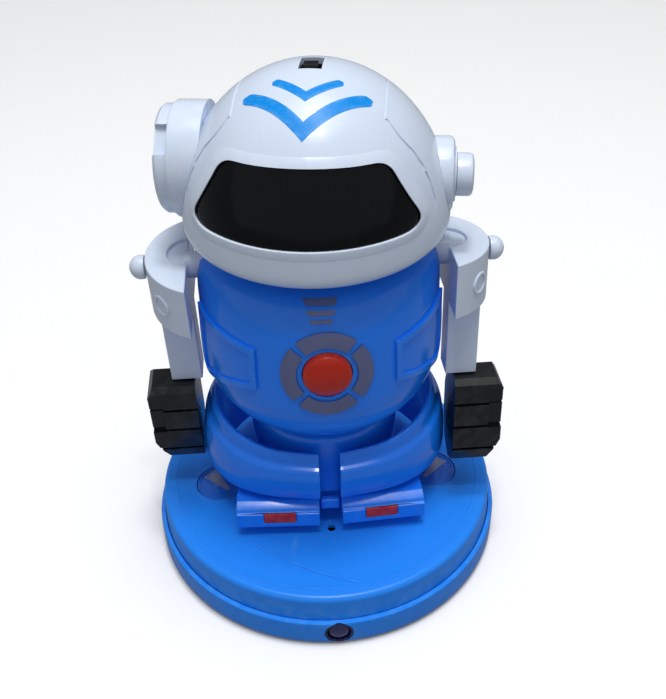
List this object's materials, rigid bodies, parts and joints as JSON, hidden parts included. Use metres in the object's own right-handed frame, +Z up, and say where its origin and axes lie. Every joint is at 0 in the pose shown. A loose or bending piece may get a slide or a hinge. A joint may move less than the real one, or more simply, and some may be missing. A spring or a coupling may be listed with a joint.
{
  "type": "toy robot",
  "caption": "Toy robot with a domed visor helmet, swinging arms and a chest button, on a round base with a hidden driven bogie and rollers.",
  "frame": {"origin": "on the floor under the middle of the round base", "axes": "+Z up, the robot faces -Y, +X is the robot's left side"},
  "size_m": [0.145, 0.145, 0.2024],
  "materials": {
    "base_plate_blue": "gloss",
    "body_blue": "gloss",
    "white_plastic": "gloss",
    "nylon": "satin",
    "black_plastic": "gloss",
    "visor_black": "mirror gloss",
    "silver_print": "satin",
    "orange_plastic": "satin",
    "lens_blue": "clear gloss",
    "tyre_rubber": "matte",
    "steel": "brushed",
    "cell_jacket": "satin",
    "board_green": "satin"
  },
  "bodies": {
    "base": {"base_bottom_shell": "body_blue", "base_top_shell": "base_plate_blue", "base_screw_left_1": "steel", "base_screw_left_2": "steel", "base_screw_right_1": "steel", "base_screw_right_2": "steel", "battery_cell_1": "cell_jacket", "battery_cell_2": "cell_jacket", "battery_cell_3": "cell_jacket", "contact_plate_left": "steel", "contact_plate_right": "steel", "speaker": "steel", "circuit_board": "board_green", "bogie_retainer": "black_plastic", "headlamp_lens": "lens_blue", "window_lens_left": "lens_blue", "window_lens_right": "lens_blue", "pelvis": "body_blue", "thigh_left": "body_blue", "thigh_right": "body_blue", "foot_left": "body_blue", "foot_right": "body_blue", "foot_bridge": "body_blue", "foot_reflector_left": "orange_plastic", "foot_reflector_right": "orange_plastic"},
    "battery_door": {"battery_door": "body_blue", "battery_door_screw": "steel"},
    "bogie": {"bogie_plate": "black_plastic", "gearbox_housing": "black_plastic", "motor": "steel"},
    "drive_wheels": {"drive_axle": "steel", "drive_gear": "nylon", "drive_wheel_left": "black_plastic", "drive_wheel_right": "black_plastic", "drive_tyre_left": "tyre_rubber", "drive_tyre_right": "tyre_rubber"},
    "pinion": {"motor_pinion": "nylon"},
    "roller_left": {"front_roller_left": "black_plastic"},
    "roller_right": {"front_roller_right": "black_plastic"},
    "torso": {"torso_front_shell": "body_blue", "torso_back_shell": "body_blue", "chest_ring": "silver_print", "waist_spindle": "nylon", "neck_post": "nylon"},
    "button": {"chest_button": "orange_plastic", "button_spring": "steel"},
    "arm_left": {"arm_left": "white_plastic", "shoulder_cap_left": "white_plastic", "hand_left": "black_plastic"},
    "arm_right": {"arm_right": "white_plastic", "shoulder_cap_right": "white_plastic", "hand_right": "black_plastic"},
    "head": {"helmet_front_shell": "white_plastic", "helmet_back_shell": "white_plastic", "visor": "visor_black", "eye_board": "board_green", "ear_drum_right": "white_plastic", "ear_boss_left": "white_plastic", "ear_cap_left": "white_plastic"},
    "crown_switch": {"crown_switch_knob": "black_plastic"}
  },
  "joints": [
    {"name": "waist_twist", "type": "hinge", "parent": "base", "child": "torso", "pos_m": [0, 0, 0.069], "axis": [0, 0, 1], "range_deg": [-20, 20]},
    {"name": "head_turn", "type": "hinge", "parent": "torso", "child": "head", "pos_m": [0, 0, 0.14], "axis": [0, 0, 1], "range_deg": [-36, 54]},
    {"name": "shoulder_swing_left", "type": "hinge", "parent": "torso", "child": "arm_left", "pos_m": [0.055, 0, 0.1305], "axis": [-1, 0, 0], "range_deg": [-35, 30]},
    {"name": "shoulder_swing_right", "type": "hinge", "parent": "torso", "child": "arm_right", "pos_m": [-0.055, 0, 0.1305], "axis": [-1, 0, 0], "range_deg": [-25, 40]},
    {"name": "chest_button_press", "type": "slide", "parent": "torso", "child": "button", "axis": [0, 1, 0], "range_m": [0, 0.0015], "stiffness_N_per_m": 200},
    {"name": "crown_switch_slide", "type": "slide", "parent": "head", "child": "crown_switch", "axis": [0.1564, 0.9877, 0], "range_m": [0, 0.0045]},
    {"name": "bogie_swivel", "type": "hinge", "parent": "base", "child": "bogie", "pos_m": [0, 0.026, 0.003], "axis": [0, 0, 1], "continuous": true},
    {"name": "axle_spin", "type": "hinge", "parent": "bogie", "child": "drive_wheels", "pos_m": [0, 0.026, 0.011], "axis": [1, 0, 0], "continuous": true},
    {"name": "pinion_spin", "type": "hinge", "parent": "bogie", "child": "pinion", "pos_m": [0, 0.0358, 0.011], "axis": [1, 0, 0], "continuous": true},
    {"name": "roller_spin_left", "type": "hinge", "parent": "base", "child": "roller_left", "pos_m": [0.046, -0.036, 0.0045], "axis": [1, 0, 0], "continuous": true},
    {"name": "roller_spin_right", "type": "hinge", "parent": "base", "child": "roller_right", "pos_m": [-0.046, -0.036, 0.0045], "axis": [1, 0, 0], "continuous": true},
    {"name": "battery_door_pull", "type": "slide", "parent": "base", "child": "battery_door", "axis": [0, 0, -1], "range_m": [0, 0.02]}
  ],
  "couplings": [
    {"joint": "pinion_spin", "follows": "axle_spin", "ratio": -3}
  ]
}
